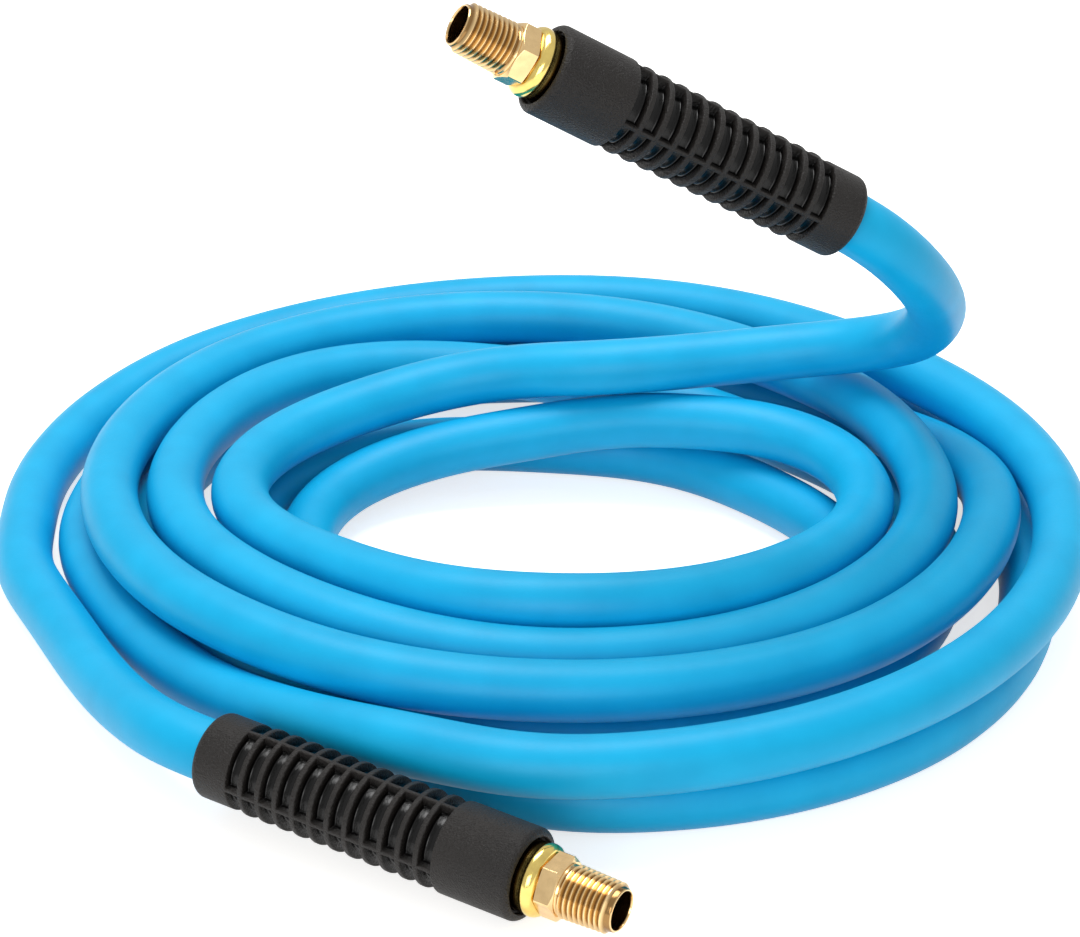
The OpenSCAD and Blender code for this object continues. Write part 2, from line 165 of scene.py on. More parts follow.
# %% One smooth centre line, from inside one ferrule to inside the other
def heading(aim):
    compass, rise = math.radians(aim[0]), math.radians(aim[1])
    return np.array([math.cos(compass) * math.cos(rise), math.sin(compass) * math.cos(rise), math.sin(rise)])


def unit(v):
    return v / np.linalg.norm(v)


def smooth_line(points, step):
    """Points every few millimetres on a curve through the given ones, eased by its own arc length."""
    p = np.array(points, float)
    s = np.concatenate([[0], np.cumsum(np.linalg.norm(np.diff(p, axis=0), axis=1))])
    tangent = np.empty_like(p)
    tangent[1:-1] = (p[2:] - p[:-2]) / (s[2:] - s[:-2])[:, None]
    tangent[0], tangent[-1] = unit(p[1] - p[0]), unit(p[-1] - p[-2])
    at = np.linspace(0, s[-1], int(s[-1] / step) + 1)
    i = np.clip(np.searchsorted(s, at, side="right") - 1, 0, len(p) - 2)
    span = (s[i + 1] - s[i])[:, None]
    t = (at - s[i])[:, None] / span
    line = ((2 * t**3 - 3 * t**2 + 1) * p[i] + (t**3 - 2 * t**2 + t) * span * tangent[i]
            + (3 * t**2 - 2 * t**3) * p[i + 1] + (t**3 - t**2) * span * tangent[i + 1])
    for _ in range(12):
        line[2:-2] = (line[1:-3] + 2 * line[2:-2] + line[3:-1]) / 4
    return line


# The hose ends this far from the mouth of its bend restrictor, inside the ferrule.
HOSE_STOP = 90.0
STRAIGHT_STEP = 15.0
ROUTE_STEP = 3.5

upper_axis, lower_axis = heading(UPPER_AIM), heading(LOWER_AIM)
inside_upper = [np.array(UPPER_RUN[0]) + upper_axis * x for x in np.arange(HOSE_STOP, 0, -STRAIGHT_STEP)]
inside_lower = [np.array(LOWER_RUN[-1]) + lower_axis * x
                for x in np.arange(STRAIGHT_STEP, HOSE_STOP + 1, STRAIGHT_STEP)]
coil_start = coil_points[0] - HOSE_D * unit(turned(1, *station(1)) - turned(0, *station(0)))
last_angle = KEYS[-1, 0]
before_last = turned(last_angle - 1, *station(last_angle - 1))
coil_end = coil_points[-1] + HOSE_D * unit(turned(last_angle, *station(last_angle)) - before_last)
route = inside_upper + UPPER_RUN + [coil_start] + coil_points + [coil_end] + LOWER_RUN + inside_lower
hose_line = smooth_line(route, ROUTE_STEP) * MM + np.array(COIL_AT)


# %% [markdown]
# ## Building with geometry nodes
# A thing that follows a path or repeats is best described by a rule. Geometry nodes hold such a rule with named sizes.
# One small function adds a node, sets it up and links it, so each rule below reads as a short list.

# %% Helpers for node trees
def add_node(tree, kind, inputs=(), **settings):
    """A node with its settings; inputs pairs a socket's name or number with a value or another node's output."""
    node = tree.nodes.new(kind)
    for name, value in settings.items():
        setattr(node, name, value)
    for name, value in dict(inputs).items():
        if isinstance(value, bpy.types.NodeSocket):
            tree.links.new(value, node.inputs[name])
        else:
            node.inputs[name].default_value = value
    return node


def geometry_rule(name, sizes):
    """A geometry node tree with one geometry in, named sizes in, and one geometry out."""
    tree = bpy.data.node_groups.new(name, "GeometryNodeTree")
    tree.interface.new_socket("Geometry", in_out="INPUT", socket_type="NodeSocketGeometry")
    for size in sizes:
        kind = "NodeSocketMaterial" if size == "Material" else "NodeSocketFloat"
        tree.interface.new_socket(size, in_out="INPUT", socket_type=kind)
    tree.interface.new_socket("Geometry", in_out="OUTPUT", socket_type="NodeSocketGeometry")
    return tree, tree.nodes.new("NodeGroupInput"), tree.nodes.new("NodeGroupOutput")


def apply_rule(source, tree, sizes, name):
    """Runs the tree on an object and returns the result as a plain mesh object."""
    modifier = source.modifiers.new(tree.name, "NODES")
    modifier.node_group = tree
    identifiers = {item.name: item.identifier for item in tree.interface.items_tree if item.in_out == "INPUT"}
    for size, value in sizes.items():
        modifier[identifiers[size]] = value
    shaped = source.evaluated_get(bpy.context.evaluated_depsgraph_get())
    mesh = bpy.data.meshes.new_from_object(shaped)
    mesh.name = name
    bpy.data.objects.remove(source)
    piece = bpy.data.objects.new(name, mesh)
    bpy.context.collection.objects.link(piece)
    return piece


def line_object(name, points):
    """An open curve of straight steps through points in metres."""
    curve = bpy.data.curves.new(name, "CURVE")
    curve.dimensions = "3D"
    spline = curve.splines.new("POLY")
    spline.points.add(len(points) - 1)
    spline.points.foreach_set("co", np.column_stack([points, np.ones(len(points))]).ravel())
    piece = bpy.data.objects.new(name, curve)
    bpy.context.collection.objects.link(piece)
    return piece


# %% [markdown]
# ## Colours and materials
# Each finish starts from what the real thing is made of. Colours are written as they look on a screen, in hex, and one
# function turns them to the linear values that the renderer uses.

# %% Colour and material helpers
def colour(hex_code):
    """Linear RGBA of a screen colour such as "#1FA4E3"."""
    channels = [int(hex_code[i:i + 2], 16) / 255 for i in (1, 3, 5)]
    return tuple(c / 12.92 if c <= 0.04045 else ((c + 0.055) / 1.055) ** 2.4 for c in channels) + (1.0,)


def new_material(name, **shader_values):
    """A material with one Principled shader whose plain values are set on its own sockets."""
    material = bpy.data.materials.new(name)
    material.use_nodes = True
    shader = material.node_tree.nodes["Principled BSDF"]
    for socket, value in shader_values.items():
        shader.inputs[socket.replace("_", " ")].default_value = value
    return material, material.node_tree, shader


def finish_name(piece, material):
    piece.data.materials.clear()
    piece.data.materials.append(material)


# %% Hose cover: flexible polymer, extruded, with a dull soft skin
def hose_cover_finish():
    material, tree, shader = new_material("extruded_polymer_hose_cover", IOR=1.5, Specular_IOR_Level=0.28)
    coords = add_node(tree, "ShaderNodeTexCoord").outputs["Object"]
    mottle = add_node(tree, "ShaderNodeTexNoise", {"Vector": coords, "Scale": 60.0, "Detail": 3.0})
    shade = add_node(tree, "ShaderNodeValToRGB", {"Fac": mottle.outputs["Fac"]})
    shade.color_ramp.elements[0].position = 0.3
    shade.color_ramp.elements[0].color = colour("#00A4D6")
    shade.color_ramp.elements[1].position = 0.7
    shade.color_ramp.elements[1].color = colour("#06AEE0")
    tree.links.new(shade.outputs["Color"], shader.inputs["Base Color"])
    grain = add_node(tree, "ShaderNodeTexNoise", {"Vector": coords, "Scale": 1400.0, "Detail": 2.0})
    rough = add_node(tree, "ShaderNodeMapRange", {"Value": grain.outputs["Fac"], "To Min": 0.4, "To Max": 0.54})
    tree.links.new(rough.outputs["Result"], shader.inputs["Roughness"])
    bump = add_node(tree, "ShaderNodeBump", {"Height": grain.outputs["Fac"], "Strength": 0.25, "Distance": 0.00008})
    tree.links.new(bump.outputs["Normal"], shader.inputs["Normal"])
    return material


# %% [markdown]
# ## The hose
# A hose is extruded, so it has one round section everywhere. A curve with a bevel would do, but a rule that sweeps a
# circle keeps its radius and finish as named inputs, and holds the section upright, so that it never twists.

# %% Hose rule
hose_rule, rule_in, rule_out = geometry_rule("swept_hose", ["Radius", "Material"])
upright = add_node(hose_rule, "GeometryNodeSetCurveNormal", {"Curve": rule_in.outputs["Geometry"]}, mode="Z_UP")
section = add_node(hose_rule, "GeometryNodeCurvePrimitiveCircle",
                   {"Radius": rule_in.outputs["Radius"], "Resolution": 32})
swept = add_node(hose_rule, "GeometryNodeCurveToMesh",
                 {"Curve": upright.outputs["Curve"], "Profile Curve": section.outputs["Curve"], "Fill Caps": True})
rounded = add_node(hose_rule, "GeometryNodeSetShadeSmooth", {"Geometry": swept.outputs["Mesh"]})
plain = add_node(hose_rule, "GeometryNodeRealizeInstances", {"Geometry": rounded.outputs["Geometry"]})
coated = add_node(hose_rule, "GeometryNodeSetMaterial",
                  {"Geometry": plain.outputs["Geometry"], "Material": rule_in.outputs["Material"]})
hose_rule.links.new(coated.outputs["Geometry"], rule_out.inputs["Geometry"])

hose_cover = hose_cover_finish()
hose = apply_rule(line_object("hose_line", hose_line), hose_rule,
                  {"Radius": HOSE_D / 2 * MM, "Material": hose_cover}, "air_hose")
print("hose mesh:", len(hose.data.polygons), "faces")

# %% [markdown]
# ## Places along an end
# Each end of the hose carries three things on one axis: a bend restrictor, a crimped ferrule and a threaded fitting.
# They are turned shapes, so they are built once on the Z axis, from the hose mouth at zero to the open end of the
# thread, and then laid along each end's own axis in the mesh itself.

# %% Sizes along an end, in millimetres, and the way to each end
SLEEVE_LEN, COLLAR_LEN, CUFF_LEN = 93.0, 21.4, 11.0
COLLAR_START = SLEEVE_LEN - COLLAR_LEN
FERRULE_START = COLLAR_START + 0.6
LIP_START, LIP_LEN = SLEEVE_LEN + 0.8, 4.4
HEX_START = LIP_START + LIP_LEN
HEX_LEN, THREAD_LEN = 5.0, 14.8
THREAD_START = HEX_START + HEX_LEN
END_LEN = THREAD_START + THREAD_LEN

ENDS = {
    "upper": {"mouth": UPPER_RUN[0], "aim": UPPER_AIM, "turn": 82, "flat_at": 25},
    "lower": {"mouth": LOWER_RUN[-1], "aim": LOWER_AIM, "turn": 4, "flat_at": 2},
}


def end_matrix(end):
    """From millimetres along an end to metres in the frame."""
    compass, rise = (math.radians(a) for a in end["aim"])
    turn = Matrix.Rotation(compass, 4, "Z") @ Matrix.Rotation(math.pi / 2 - rise, 4, "Y")
    return Matrix.Translation(COIL_AT + Vector(end["mouth"]) * MM) @ turn @ Matrix.Scale(MM, 4)


print("an end is", END_LEN, "mm long from the hose mouth")


# %% Helpers for turned meshes
def turned_mesh(name, outline, angles, closed=True):
    """A mesh turned from an outline of (radius, height), with one column of points for each angle in degrees."""
    turns = np.radians(angles)
    outline = np.array(outline, float)
    points = [(r * math.cos(t), r * math.sin(t), z) for t in turns for r, z in outline]
    rows, columns = len(outline), len(turns)
    last = rows if closed else rows - 1
    faces = [(c * rows + i, (c + 1) % columns * rows + i,
              (c + 1) % columns * rows + (i + 1) % rows, c * rows + (i + 1) % rows)
             for c in range(columns) for i in range(last)]
    mesh = bpy.data.meshes.new(name)
    mesh.from_pydata(points, [], faces)
    piece = bpy.data.objects.new(name, mesh)
    bpy.context.collection.objects.link(piece)
    return piece


def even_angles(count):
    return np.arange(count) * 360 / count


def arc(centre, r, start, stop, steps=6):
    """Points of a rounded edge, as (radius, height)."""
    return [(centre[0] + r * math.cos(math.radians(a)), centre[1] + r * math.sin(math.radians(a)))
            for a in np.linspace(start, stop, steps)]


def join_into(target, *others):
    """Adds the meshes of other objects to the first one."""
    shape = bmesh.new()
    shape.from_mesh(target.data)
    for other in others:
        shape.from_mesh(other.data)
        bpy.data.objects.remove(other)
    shape.to_mesh(target.data)
    shape.free()
    return target


def tidy_mesh(piece, weld_mm=0.002, sharp_degrees=40):
    """Merges doubles, turns every face outwards, and shades smooth except over sharp edges."""
    shape = bmesh.new()
    shape.from_mesh(piece.data)
    bmesh.ops.remove_doubles(shape, verts=shape.verts, dist=weld_mm)
    bmesh.ops.recalc_face_normals(shape, faces=shape.faces)
    limit = math.radians(sharp_degrees)
    for face in shape.faces:
        face.smooth = True
    for edge in shape.edges:
        edge.smooth = not (len(edge.link_faces) == 2 and edge.calc_face_angle(0) > limit)
    shape.to_mesh(piece.data)
    shape.free()
    return piece


def copy_to_ends(source, suffix, turn="turn"):
    """One copy of a piece for each end, turned by that end's angle and laid in place in its mesh."""
    copies = {}
    for side, end in ENDS.items():
        mesh = source.data.copy()
        piece = bpy.data.objects.new(side + suffix, mesh)
        mesh.name = piece.name
        bpy.context.collection.objects.link(piece)
        spin = Matrix.Rotation(math.radians(end[turn]), 4, "Z")
        mesh.transform(end_matrix(end) @ spin)
        copies[side] = piece
    bpy.data.objects.remove(source)
    return copies


# %% [markdown]
# ## The bend restrictor
# It is moulded in one piece from soft black rubber-like plastic: a thin tube, a solid cuff at the hose mouth, a solid
# collar over the ferrule, and between them ribs joined by four bars. The shape between two ribs repeats, so one belt of
# four windows is made as a fine grid and geometry nodes stack the belts. The grid has its lines where the edges
# round off, so each window gets soft edges and a steep wall without a bevel.

# %% One belt of windows
FLOOR_R, RIB_R = 8.9, 11.4
RIB_COUNT, RIB_W = 11, 1.6
BAR_COUNT, BAR_W = 4, 1.2
WINDOW_PITCH = (COLLAR_START - CUFF_LEN + RIB_W) / (RIB_COUNT + 1)
WINDOW_LEN = WINDOW_PITCH - RIB_W
EDGE_ROUND, FLOOR_ROUND, WALL_SLANT = 0.4, 0.35, 0.15
# Distances from a window's edge at which the surface bends, in millimetres, positive towards its middle.
BENDS = [-0.4, -0.32, -0.22, -0.12, -0.04, 0.0, 0.15, 0.22, 0.32, 0.5]


def window_depth(inside):
    """How deep the surface lies at a distance inside the window's edge."""
    depth = RIB_R - FLOOR_R
    if inside <= -EDGE_ROUND:
        return 0.0
    if inside <= 0:
        return EDGE_ROUND - math.sqrt(max(EDGE_ROUND**2 - (inside + EDGE_ROUND)**2, 0))
    if inside <= WALL_SLANT:
        return EDGE_ROUND + (depth - FLOOR_ROUND - EDGE_ROUND) * inside / WALL_SLANT
    if inside <= WALL_SLANT + FLOOR_ROUND:
        run = WALL_SLANT + FLOOR_ROUND - inside
        return depth - FLOOR_ROUND + math.sqrt(max(FLOOR_ROUND**2 - run**2, 0))
    return depth


def stations(length, middle):
    """Positions across one window of a length, from the middle of one bar or rib to the middle of the next."""
    inner = list(np.linspace(BENDS[-1], length - BENDS[-1], middle)[1:-1])
    return BENDS + inner + [length - b for b in reversed(BENDS)]


quarter = 2 * math.pi * RIB_R / BAR_COUNT
across = stations(quarter - BAR_W, 14)
along = [-RIB_W / 2] + stations(WINDOW_LEN, 4) + [WINDOW_LEN + RIB_W / 2]
belt_angles = np.array([math.degrees((b * quarter + BAR_W / 2 + x) / RIB_R)
                        for b in range(BAR_COUNT) for x in [-BAR_W / 2] + across])


def side_distance(x, length):
    return min(x, length - x)


belt_points, columns = [], len(belt_angles)
for z in along:
    for b in range(BAR_COUNT):
        for k, x in enumerate([-BAR_W / 2] + across):
            inside = min(side_distance(x, quarter - BAR_W), side_distance(z, WINDOW_LEN))
            radius = RIB_R - window_depth(inside)
            turn = math.radians(belt_angles[b * (len(across) + 1) + k])
            belt_points.append((radius * math.cos(turn), radius * math.sin(turn), z))
belt_faces = [(i * columns + c, i * columns + (c + 1) % columns,
               (i + 1) * columns + (c + 1) % columns, (i + 1) * columns + c)
              for i in range(len(along) - 1) for c in range(columns)]
belt_mesh = bpy.data.meshes.new("window_belt")
belt_mesh.from_pydata(belt_points, [], belt_faces)
belt = bpy.data.objects.new("window_belt", belt_mesh)
bpy.context.collection.objects.link(belt)
print("one belt:", len(belt_faces), "faces, one window", round(WINDOW_LEN, 2), "mm long")

# %% Belts stacked by a rule
stack_rule, rule_in, rule_out = geometry_rule("stacked_belts", ["First", "Pitch", "Count", "Material"])
first = add_node(stack_rule, "ShaderNodeCombineXYZ", {"Z": rule_in.outputs["First"]})
step = add_node(stack_rule, "ShaderNodeCombineXYZ", {"Z": rule_in.outputs["Pitch"]})
places = add_node(stack_rule, "GeometryNodeMeshLine", {"Count": rule_in.outputs["Count"],
                                                       "Start Location": first.outputs["Vector"],
                                                       "Offset": step.outputs["Vector"]}, mode="OFFSET")
stacked = add_node(stack_rule, "GeometryNodeInstanceOnPoints",
                   {"Points": places.outputs["Mesh"], "Instance": rule_in.outputs["Geometry"]})
real = add_node(stack_rule, "GeometryNodeRealizeInstances", {"Geometry": stacked.outputs["Instances"]})
welded = add_node(stack_rule, "GeometryNodeMergeByDistance", {"Geometry": real.outputs["Geometry"], "Distance": 0.002})
covered = add_node(stack_rule, "GeometryNodeSetMaterial",
                   {"Geometry": welded.outputs["Geometry"], "Material": rule_in.outputs["Material"]})
stack_rule.links.new(covered.outputs["Geometry"], rule_out.inputs["Geometry"])


# %% Moulded soft plastic: a fine matt grain outside, shinier where the mould was polished, and painted shade deep in the windows
def moulded_sleeve_finish():
    """Black carbon-filled elastomer: nearly black, warm, with a broad dull sheen and a leathery grain of 0.4 mm."""
    material, tree, shader = new_material("moulded_black_elastomer", IOR=1.5, Specular_IOR_Level=0.3)
    coords = add_node(tree, "ShaderNodeTexCoord").outputs["Object"]
    pocket_depth_and_shade = add_node(tree, "ShaderNodeAttribute", attribute_name="pocket_depth_and_shade").outputs["Fac"]
    cloud = add_node(tree, "ShaderNodeTexNoise", {"Vector": coords, "Scale": 90.0, "Detail": 4.0})
    matt = add_node(tree, "ShaderNodeMix", {"Factor": cloud.outputs["Fac"]}, data_type="RGBA")
    matt.inputs["A"].default_value, matt.inputs["B"].default_value = colour("#0F0D0C"), colour("#1F1B18")
    # Deep in the window pockets the colour goes nearly black: this is painted shade.
    painted_pocket_shade = add_node(tree, "ShaderNodeMix", {"Factor": pocket_depth_and_shade, "A": matt.outputs["Result"]}, data_type="RGBA")
    painted_pocket_shade.inputs["B"].default_value = colour("#030303")
    tree.links.new(painted_pocket_shade.outputs["Result"], shader.inputs["Base Color"])
    grain = add_node(tree, "ShaderNodeTexVoronoi", {"Vector": coords, "Scale": 2200.0}, feature="SMOOTH_F1")
    fine = add_node(tree, "ShaderNodeTexNoise", {"Vector": coords, "Scale": 2400.0, "Detail": 3.0})
    relief = add_node(tree, "ShaderNodeMath", {0: grain.outputs["Distance"], 1: fine.outputs["Fac"]}, operation="ADD")
    wear = add_node(tree, "ShaderNodeMapRange", {"Value": cloud.outputs["Fac"], "To Min": 0.44, "To Max": 0.54})
    rough = add_node(tree, "ShaderNodeMix", {"Factor": pocket_depth_and_shade, "A": wear.outputs["Result"], "B": 0.2}, data_type="FLOAT")
    tree.links.new(rough.outputs["Result"], shader.inputs["Roughness"])
    depth = add_node(tree, "ShaderNodeMapRange", {"Value": pocket_depth_and_shade, "To Min": 0.95, "To Max": 0.06})
    bump = add_node(tree, "ShaderNodeBump", {"Height": relief.outputs["Value"], "Strength": depth.outputs["Result"],
                                             "Distance": 0.0003})
    tree.links.new(bump.outputs["Normal"], shader.inputs["Normal"])
    return material


# %% The whole restrictor: belts between a cuff and a collar
CUFF_R, COLLAR_R, RIM_ROUND = 11.1, 11.75, 1.7
INNER_R, SEAT_R, RECESS_R, RECESS_DEPTH = 8.3, 9.1, 9.7, 1.4
RIDGE_AT, RIDGE_HALF, RIDGE_H = SLEEVE_LEN - 8.5, 1.0, 0.6

sleeve_plastic = moulded_sleeve_finish()
ribbed = apply_rule(belt, stack_rule, {"First": CUFF_LEN, "Pitch": WINDOW_PITCH, "Count": RIB_COUNT + 1,
                                       "Material": sleeve_plastic}, "ribbed_part")
BELTS_START, BELTS_END = CUFF_LEN - RIB_W / 2, COLLAR_START + RIB_W / 2
tops = np.empty(len(ribbed.data.vertices) * 3)
ribbed.data.vertices.foreach_get("co", tops)
tops = tops.reshape(-1, 3)
radius = np.hypot(tops[:, 0], tops[:, 1])
# The ribs grow a little from the cuff towards the collar.
FIRST_RIB_R, LAST_RIB_R = 11.35, 11.6
wanted = np.interp(tops[:, 2],
                   [BELTS_START, BELTS_START + RIB_W, BELTS_START + WINDOW_PITCH, BELTS_END - RIB_W, BELTS_END],
                   [CUFF_R, CUFF_R, FIRST_RIB_R, LAST_RIB_R, COLLAR_R])
new_radius = FLOOR_R + (radius - FLOOR_R) * (wanted - FLOOR_R) / (RIB_R - FLOOR_R)
tops[:, :2] *= (new_radius / radius)[:, None]
ribbed.data.vertices.foreach_set("co", tops.ravel())

outline = ([(COLLAR_R, BELTS_END), (COLLAR_R, BELTS_END + 4), (COLLAR_R, SLEEVE_LEN - 8)]
           + arc((COLLAR_R - RIM_ROUND, SLEEVE_LEN - RIM_ROUND), RIM_ROUND, 0, 90, 9)
           + [(RECESS_R + 0.2, SLEEVE_LEN), (RECESS_R, SLEEVE_LEN - 0.25), (RECESS_R, SLEEVE_LEN - RECESS_DEPTH),
              (SEAT_R, SLEEVE_LEN - RECESS_DEPTH), (SEAT_R, RIDGE_AT + RIDGE_HALF),
              (SEAT_R - RIDGE_H, RIDGE_AT + RIDGE_HALF), (SEAT_R - RIDGE_H, RIDGE_AT - RIDGE_HALF),
              (SEAT_R, RIDGE_AT - RIDGE_HALF), (SEAT_R, FERRULE_START - 0.3), (INNER_R, FERRULE_START - 0.3),
              (INNER_R, 0.5), (INNER_R + 0.3, 0.0)]
           + arc((CUFF_R - RIM_ROUND, RIM_ROUND), RIM_ROUND, -90, 0, 9)
           + [(CUFF_R, 5.0), (CUFF_R, BELTS_START)])
sleeve = turned_mesh("bend_restrictor", outline, belt_angles, closed=False)
tidy_mesh(join_into(sleeve, ribbed), sharp_degrees=60)
shape_radius = np.array([math.hypot(v.co.x, v.co.y) for v in sleeve.data.vertices])
heights = np.array([v.co.z for v in sleeve.data.vertices])
ribbed_zone = (heights > BELTS_START) & (heights < BELTS_END)
# How deep a point lies in a window pocket, from 0 near the rib tops to 1 on the floor; it paints shade there and makes
# the floor shinier and smoother.
pocket_depth_and_shade = np.where(ribbed_zone, np.clip((10.4 - shape_radius) / 1.2, 0, 1), 0.0)
sleeve.data.attributes.new("pocket_depth_and_shade", "FLOAT", "POINT").data.foreach_set("value", pocket_depth_and_shade)
finish_name(sleeve, sleeve_plastic)
restrictors = copy_to_ends(sleeve, "_moulded_restrictor")
for side, piece in restrictors.items():
    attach(piece, side + "_restrictor")
    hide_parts(side + "_bend_restrictor")
    print(piece.name, len(piece.data.polygons), "faces")

# %% [markdown]
# ## Brass
# The ferrule is a thin sleeve of yellow brass that is crimped round the hose; only its rolled lip shows, and that is
# polished. The fitting is turned from a hexagonal bar and left as the tool cuts it. One material with other numbers
# makes both. Metal shows its surroundings, so what the eye reads as brass is colour, a little roughness and the fine
# rings that the tool leaves round the axis.


# %% Brass finishes
def brass_finish(name, light, dark, roughness, ring_strength):
    """Copper-zinc alloy. Rings of 0.25 mm from turning, coarser than real ones so that they show, and painted shade in
    recesses.
    """
    material, tree, shader = new_material(name, Metallic=1.0)
    coords = add_node(tree, "ShaderNodeAttribute", attribute_name="on_axis").outputs["Vector"]
    rings = add_node(tree, "ShaderNodeTexWave", {"Vector": coords, "Scale": 0.6, "Distortion": 1.5, "Detail": 2.0,
                                                 "Detail Scale": 1.0}, bands_direction="Z")
    stain = add_node(tree, "ShaderNodeTexNoise", {"Vector": coords, "Scale": 0.35, "Detail": 3.0})
    tint = add_node(tree, "ShaderNodeMapRange", {"Value": stain.outputs["Fac"], "From Min": 0.3, "From Max": 0.7})
    # The brass goes darker where shade is painted in a recess, and a little darker where a random stain lies.
    painted_recess_shade = add_node(tree, "ShaderNodeAttribute", attribute_name="painted_recess_shade").outputs["Fac"]
    darker = add_node(tree, "ShaderNodeMath", {0: tint.outputs["Result"], 1: 0.2}, operation="MULTIPLY")
    either = add_node(tree, "ShaderNodeMath", {0: darker.outputs["Value"], 1: painted_recess_shade}, operation="MAXIMUM")
    shade = add_node(tree, "ShaderNodeMix", {"Factor": either.outputs["Value"]}, data_type="RGBA")
    shade.inputs["A"].default_value, shade.inputs["B"].default_value = colour(light), colour(dark)
    tree.links.new(shade.outputs["Result"], shader.inputs["Base Color"])
    rough = add_node(tree, "ShaderNodeMapRange", {"Value": rings.outputs["Fac"], "To Min": roughness,
                                                  "To Max": roughness + 0.08})
    tree.links.new(rough.outputs["Result"], shader.inputs["Roughness"])
    bump = add_node(tree, "ShaderNodeBump", {"Height": rings.outputs["Fac"], "Strength": ring_strength,
                                             "Distance": 0.00003})
    tree.links.new(bump.outputs["Normal"], shader.inputs["Normal"])
    return material


def mark_axis(piece, painted_recess_shade=None):
    """Keeps each point's place on the turning axis, in millimetres, and how much shade is painted on it in a recess."""
    count = len(piece.data.vertices)
    places = np.empty(count * 3)
    piece.data.vertices.foreach_get("co", places)
    piece.data.attributes.new("on_axis", "FLOAT_VECTOR", "POINT").data.foreach_set("vector", places)
    piece.data.attributes.new("painted_recess_shade", "FLOAT", "POINT").data.foreach_set(
        "value", painted_recess_shade(places.reshape(-1, 3)) if painted_recess_shade else np.zeros(count))


# %% The crimped ferrule with its rolled lip
FERRULE_R, LIP_R = 8.8, 9.2
LIP_ROUND = LIP_LEN / 2
CRIMPS, CRIMP_PITCH, CRIMP_DEPTH, FIRST_CRIMP = 3, 3.0, 0.35, 2.5
GROOVE_DEPTH = 0.6
BORE_R, HOSE_R = 4.75, HOSE_D / 2
crimped = [(FERRULE_R, FERRULE_START)]
for k in range(CRIMPS):
    z = FERRULE_START + FIRST_CRIMP + k * CRIMP_PITCH
    crimped += [(FERRULE_R, z - 1), (FERRULE_R - CRIMP_DEPTH, z - 0.4),
                (FERRULE_R - CRIMP_DEPTH, z + 0.4), (FERRULE_R, z + 1)]
groove = RIDGE_HALF + 0.3
crimped += [(FERRULE_R, RIDGE_AT - groove), (FERRULE_R - GROOVE_DEPTH, RIDGE_AT - groove),
            (FERRULE_R - GROOVE_DEPTH, RIDGE_AT + groove), (FERRULE_R, RIDGE_AT + groove),
            (FERRULE_R, LIP_START - 0.1)]
lip = arc((LIP_R - LIP_ROUND, LIP_START + LIP_ROUND), LIP_ROUND, -35, 90, 20)
back_inside = [(BORE_R, HEX_START), (BORE_R, HOSE_STOP), (HOSE_R, HOSE_STOP), (HOSE_R, FERRULE_START)]
ferrule = turned_mesh("ferrule", crimped + lip + back_inside, even_angles(96))
tidy_mesh(ferrule)


def shade_under_collar_mouth(places):
    """1 on the crimped sleeve inside the collar's mouth, where it is painted dark as shade, and 0 on the polished lip.
    """
    return np.clip((LIP_START + 0.9 - places[:, 2]) / 0.3, 0, 1)


mark_axis(ferrule, shade_under_collar_mouth)
# The dark brass paints shade on the sleeve inside the collar's mouth.
polished_brass = brass_finish("polished_yellow_brass", "#F2D67C", "#5A4018", 0.12, 0.05)
finish_name(ferrule, polished_brass)
for side, piece in copy_to_ends(ferrule, "_crimped_ferrule").items():
    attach(piece, "hose")
    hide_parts(side + "_ferrule")

# %% The hexagon: six flats with the corners turned off at both faces
HEX_AF = 14.3
corner_r = HEX_AF / 2 / math.cos(math.radians(30))
hex_angles = [side * 60 + x for side in range(6)
              for x in [-30, -29.3, -28.4, -27, -24, -20, -15, -10, -5, 0, 5, 10, 15, 20, 24, 27, 28.4, 29.3]]
hex_points, levels = [], 9
for angle in hex_angles:
    within = abs((angle + 30) % 60 - 30)
    flat_r = min(HEX_AF / 2 / math.cos(math.radians(within)), corner_r - 0.12)
    drop = max(flat_r - (HEX_AF / 2 - 0.05), 0) * 0.62
    radii_heights = [(4.9, HEX_START + 2), (4.9, HEX_START + 0.1), (HEX_AF / 2 - 0.35, HEX_START),
                     (HEX_AF / 2 - 0.1, HEX_START + 0.02), (flat_r, HEX_START + 0.1 + drop * 0.35),
                     (flat_r, THREAD_START - 0.12 - drop), (flat_r - 0.05, THREAD_START - 0.05 - drop),
                     (HEX_AF / 2 - 0.15, THREAD_START), (6.0, THREAD_START)]
    turn = math.radians(angle)
    hex_points += [(r * math.cos(turn), r * math.sin(turn), z) for r, z in radii_heights]
hex_faces = [(c * levels + i, (c + 1) % len(hex_angles) * levels + i, (c + 1) % len(hex_angles) * levels + i + 1,
              c * levels + i + 1) for c in range(len(hex_angles)) for i in range(levels - 1)]
hex_mesh = bpy.data.meshes.new("hexagon")
hex_mesh.from_pydata(hex_points, [], hex_faces)
hexagon = bpy.data.objects.new("hexagon", hex_mesh)
bpy.context.collection.objects.link(hexagon)

# %% The body of the fitting: neck, tapered core, chamfered mouth with its step, barbed stem
THREAD_D, THREAD_DEPTH, THREAD_PITCH, TAPER = 13.8, 0.85, 1.4111, 1 / 32
MOUTH_R, STEM_R, STEP_AT = 4.8, 3.2, HEX_START + 2


def crest_r(z):
    return THREAD_D / 2 - (z - THREAD_START) * TAPER


def root_r(z):
    return crest_r(z) - THREAD_DEPTH


